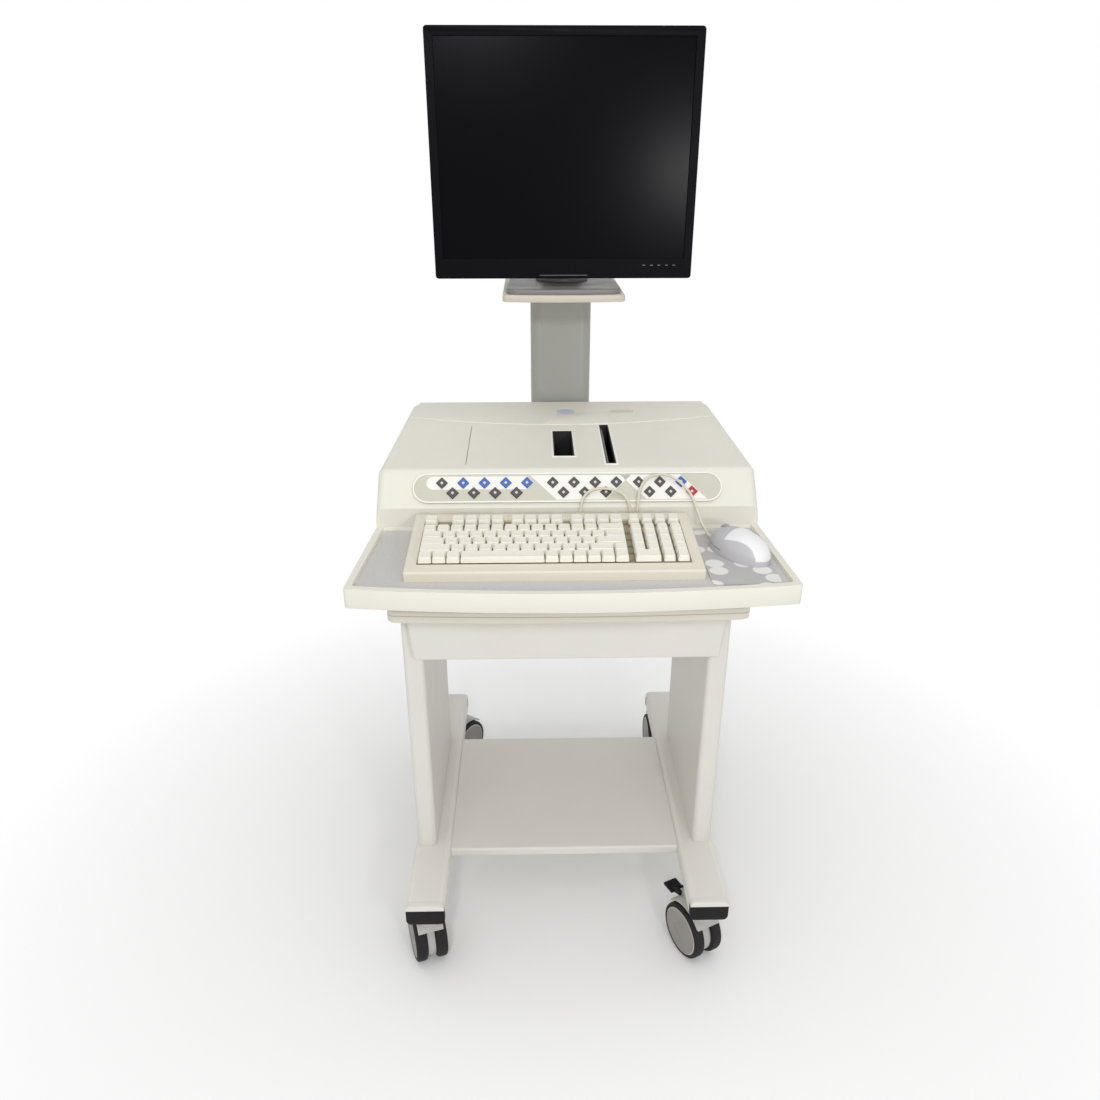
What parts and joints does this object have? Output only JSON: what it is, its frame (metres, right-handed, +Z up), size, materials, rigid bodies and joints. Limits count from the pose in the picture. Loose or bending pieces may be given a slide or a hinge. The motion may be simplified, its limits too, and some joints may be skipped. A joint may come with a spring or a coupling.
{
  "type": "ecg machine",
  "caption": "Wheeled stress-test ECG workstation: recording console with key panel, keyboard tray and mouse, flat monitor on a rear column, and a trolley with drawer and shelf.",
  "frame": {"origin": "floor level under the middle of the object's box", "axes": "+Z up, +X to the right seen from the user's side, +Y to the back; the keyboard faces -Y"},
  "size_m": [0.5996, 0.785, 1.464],
  "materials": {
    "trolley_paint": "satin powder coat",
    "board_laminate": "satin laminate",
    "zinc_steel": "zinc plated",
    "console_ivory": "fine moulded grain",
    "tray_grey": "matt mat",
    "pad_print": "printed cloth",
    "panel_olive": "satin foil",
    "circuit_board": "solder mask",
    "black_plastic": "moulded black",
    "inner_grey": "plain",
    "key_dark": "satin",
    "key_blue": "satin",
    "key_red": "satin",
    "keyboard_cream": "fine moulded grain",
    "mouse_white": "semi gloss",
    "mouse_grey": "satin",
    "wheel_grey_rubber": "ribbed",
    "cord_cream": "smooth",
    "column_grey": "satin",
    "foot_grey": "satin",
    "monitor_black": "fine grain",
    "screen_glass": "anti-glare",
    "caster_grey": "moulded",
    "caster_wheel": "grey disc with black tread"
  },
  "bodies": {
    "root": {"left_foot_rail": "trolley_paint", "right_foot_rail": "trolley_paint", "left_upright": "trolley_paint", "right_upright": "trolley_paint", "lower_shelf": "trolley_paint", "top_board": "board_laminate", "drawer_runners": "zinc_steel", "console_base": "console_ivory", "console_cover": "console_ivory", "column_platform": "console_ivory", "tray_mat": "tray_grey", "mouse_pad": "pad_print", "control_panel": "panel_olive", "keypad_board": "circuit_board", "main_board": "circuit_board", "module_dock": "black_plastic", "paper_slot": "black_plastic", "mains_inlet": "black_plastic", "foot_end_caps": "black_plastic", "chart_writer": "inner_grey", "power_supply": "inner_grey", "keyboard_case": "keyboard_cream", "mouse_shell": "mouse_white", "mouse_base": "mouse_grey", "mouse_cord": "cord_cream", "keyboard_cord": "cord_cream", "cord_bushings": "cord_cream", "column": "column_grey", "monitor_foot": "foot_grey"},
    "drawer": {"drawer_front": "trolley_paint", "drawer_box": "trolley_paint"},
    "dark_function_keys_set": {"dark_function_keys": "key_dark"},
    "blue_function_keys_set": {"blue_function_keys": "key_blue"},
    "centre_keys_set": {"centre_keys": "key_dark"},
    "right_keys_set": {"right_keys": "key_dark"},
    "start_key_set": {"start_key": "key_blue"},
    "stop_key_set": {"stop_key": "key_red"},
    "keyboard_row_1_caps": {"keyboard_row_1": "keyboard_cream"},
    "keyboard_row_2_caps": {"keyboard_row_2": "keyboard_cream"},
    "keyboard_row_3_caps": {"keyboard_row_3": "keyboard_cream"},
    "keyboard_row_4_caps": {"keyboard_row_4": "keyboard_cream"},
    "keyboard_row_5_caps": {"keyboard_row_5": "keyboard_cream"},
    "keyboard_row_6_caps": {"keyboard_row_6": "keyboard_cream"},
    "mouse_left_click": {"mouse_left_button": "mouse_grey"},
    "mouse_right_click": {"mouse_right_button": "mouse_grey"},
    "mouse_scroll": {"mouse_wheel": "wheel_grey_rubber"},
    "monitor_turn": {"monitor_neck": "foot_grey"},
    "monitor_head": {"monitor_back": "monitor_black", "monitor_bezel": "monitor_black", "lcd_panel": "screen_glass"},
    "front_left_caster": {"front_left_caster_fork": "caster_grey"},
    "front_left_wheel_pair": {"front_left_wheels": "caster_wheel"},
    "front_left_brake": {"front_left_brake_pedal": "black_plastic"},
    "front_right_caster": {"front_right_caster_fork": "caster_grey"},
    "front_right_wheel_pair": {"front_right_wheels": "caster_wheel"},
    "front_right_brake": {"front_right_brake_pedal": "black_plastic"},
    "rear_left_caster": {"rear_left_caster_fork": "caster_grey"},
    "rear_left_wheel_pair": {"rear_left_wheels": "caster_wheel"},
    "rear_right_caster": {"rear_right_caster_fork": "caster_grey"},
    "rear_right_wheel_pair": {"rear_right_wheels": "caster_wheel"}
  },
  "joints": [
    {"name": "drawer_slide", "type": "slide", "parent": "root", "child": "drawer", "axis": [0, -1, 0], "range_m": [0, 0.25]},
    {"name": "dark_function_keys_press", "type": "slide", "parent": "root", "child": "dark_function_keys_set", "axis": [0, 0.8059, -0.5921], "range_m": [0, 0.0012], "stiffness_N_per_m": 900, "springref_m": -0.0006},
    {"name": "blue_function_keys_press", "type": "slide", "parent": "root", "child": "blue_function_keys_set", "axis": [0, 0.8059, -0.5921], "range_m": [0, 0.0012], "stiffness_N_per_m": 900, "springref_m": -0.0006},
    {"name": "centre_keys_press", "type": "slide", "parent": "root", "child": "centre_keys_set", "axis": [0, 0.8059, -0.5921], "range_m": [0, 0.0012], "stiffness_N_per_m": 900, "springref_m": -0.0006},
    {"name": "right_keys_press", "type": "slide", "parent": "root", "child": "right_keys_set", "axis": [0, 0.8059, -0.5921], "range_m": [0, 0.0012], "stiffness_N_per_m": 900, "springref_m": -0.0006},
    {"name": "start_key_press", "type": "slide", "parent": "root", "child": "start_key_set", "axis": [0, 0.8059, -0.5921], "range_m": [0, 0.0012], "stiffness_N_per_m": 900, "springref_m": -0.0006},
    {"name": "stop_key_press", "type": "slide", "parent": "root", "child": "stop_key_set", "axis": [0, 0.8059, -0.5921], "range_m": [0, 0.0012], "stiffness_N_per_m": 900, "springref_m": -0.0006},
    {"name": "keyboard_row_1_press", "type": "slide", "parent": "root", "child": "keyboard_row_1_caps", "axis": [0, 0.1001, -0.995], "range_m": [0, 0.0035], "stiffness_N_per_m": 1500, "springref_m": -0.0015},
    {"name": "keyboard_row_2_press", "type": "slide", "parent": "root", "child": "keyboard_row_2_caps", "axis": [0, 0.1001, -0.995], "range_m": [0, 0.0035], "stiffness_N_per_m": 1500, "springref_m": -0.0015},
    {"name": "keyboard_row_3_press", "type": "slide", "parent": "root", "child": "keyboard_row_3_caps", "axis": [0, 0.1001, -0.995], "range_m": [0, 0.0035], "stiffness_N_per_m": 1500, "springref_m": -0.0015},
    {"name": "keyboard_row_4_press", "type": "slide", "parent": "root", "child": "keyboard_row_4_caps", "axis": [0, 0.1001, -0.995], "range_m": [0, 0.0035], "stiffness_N_per_m": 1500, "springref_m": -0.0015},
    {"name": "keyboard_row_5_press", "type": "slide", "parent": "root", "child": "keyboard_row_5_caps", "axis": [0, 0.1001, -0.995], "range_m": [0, 0.0035], "stiffness_N_per_m": 1500, "springref_m": -0.0015},
    {"name": "keyboard_row_6_press", "type": "slide", "parent": "root", "child": "keyboard_row_6_caps", "axis": [0, 0.1001, -0.995], "range_m": [0, 0.0035], "stiffness_N_per_m": 1500, "springref_m": -0.0015},
    {"name": "mouse_left_press", "type": "hinge", "parent": "root", "child": "mouse_left_click", "pos_m": [0.23446, -0.25313, 0.809], "axis": [-0.8572, -0.515, 0], "range_deg": [0, 1], "stiffness_Nm_per_rad": 0.4, "springref_deg": -1.72},
    {"name": "mouse_right_press", "type": "hinge", "parent": "root", "child": "mouse_right_click", "pos_m": [0.23446, -0.25313, 0.809], "axis": [-0.8572, -0.515, 0], "range_deg": [0, 1], "stiffness_Nm_per_rad": 0.4, "springref_deg": -1.72},
    {"name": "mouse_scroll_spin", "type": "hinge", "parent": "root", "child": "mouse_scroll", "pos_m": [0.22344, -0.23478, 0.81294], "axis": [0.8572, 0.515, 0], "continuous": true},
    {"name": "monitor_swivel", "type": "hinge", "parent": "root", "child": "monitor_turn", "pos_m": [0, 0.1815, 1.104], "axis": [0, 0, 1], "range_deg": [-40, 40]},
    {"name": "monitor_tilt", "type": "hinge", "parent": "monitor_turn", "child": "monitor_head", "pos_m": [0, 0.1625, 1.24], "axis": [-1, 0, 0], "range_deg": [-5, 20]},
    {"name": "front_left_swivel", "type": "hinge", "parent": "root", "child": "front_left_caster", "pos_m": [-0.2395, -0.2655, 0.125], "axis": [0, 0, 1], "continuous": true},
    {"name": "front_left_roll", "type": "hinge", "parent": "front_left_caster", "child": "front_left_wheel_pair", "pos_m": [-0.24784, -0.23982, 0.05], "axis": [0.9511, 0.309, 0], "continuous": true},
    {"name": "front_left_brake_press", "type": "hinge", "parent": "front_left_caster", "child": "front_left_brake", "pos_m": [-0.2599, -0.20273, 0.1], "axis": [-0.9511, -0.309, 0], "range_deg": [0, 15]},
    {"name": "front_right_swivel", "type": "hinge", "parent": "root", "child": "front_right_caster", "pos_m": [0.2395, -0.2655, 0.125], "axis": [0, 0, 1], "continuous": true},
    {"name": "front_right_roll", "type": "hinge", "parent": "front_right_caster", "child": "front_right_wheel_pair", "pos_m": [0.22766, -0.24123, 0.05], "axis": [0.8988, 0.4384, 0], "continuous": true},
    {"name": "front_right_brake_press", "type": "hinge", "parent": "front_right_caster", "child": "front_right_brake", "pos_m": [0.21057, -0.20618, 0.1], "axis": [-0.8988, -0.4384, 0], "range_deg": [0, 15]},
    {"name": "rear_left_swivel", "type": "hinge", "parent": "root", "child": "rear_left_caster", "pos_m": [-0.2395, 0.3145, 0.125], "axis": [0, 0, 1], "continuous": true},
    {"name": "rear_left_roll", "type": "hinge", "parent": "rear_left_caster", "child": "rear_left_wheel_pair", "pos_m": [-0.22401, 0.33662, 0.05], "axis": [0.8192, -0.5736, 0], "continuous": true},
    {"name": "rear_right_swivel", "type": "hinge", "parent": "root", "child": "rear_right_caster", "pos_m": [0.2395, 0.3145, 0.125], "axis": [0, 0, 1], "continuous": true},
    {"name": "rear_right_roll", "type": "hinge", "parent": "rear_right_caster", "child": "rear_right_wheel_pair", "pos_m": [0.23832, 0.34147, 0.05], "axis": [0.999, 0.0436, 0], "continuous": true}
  ]
}
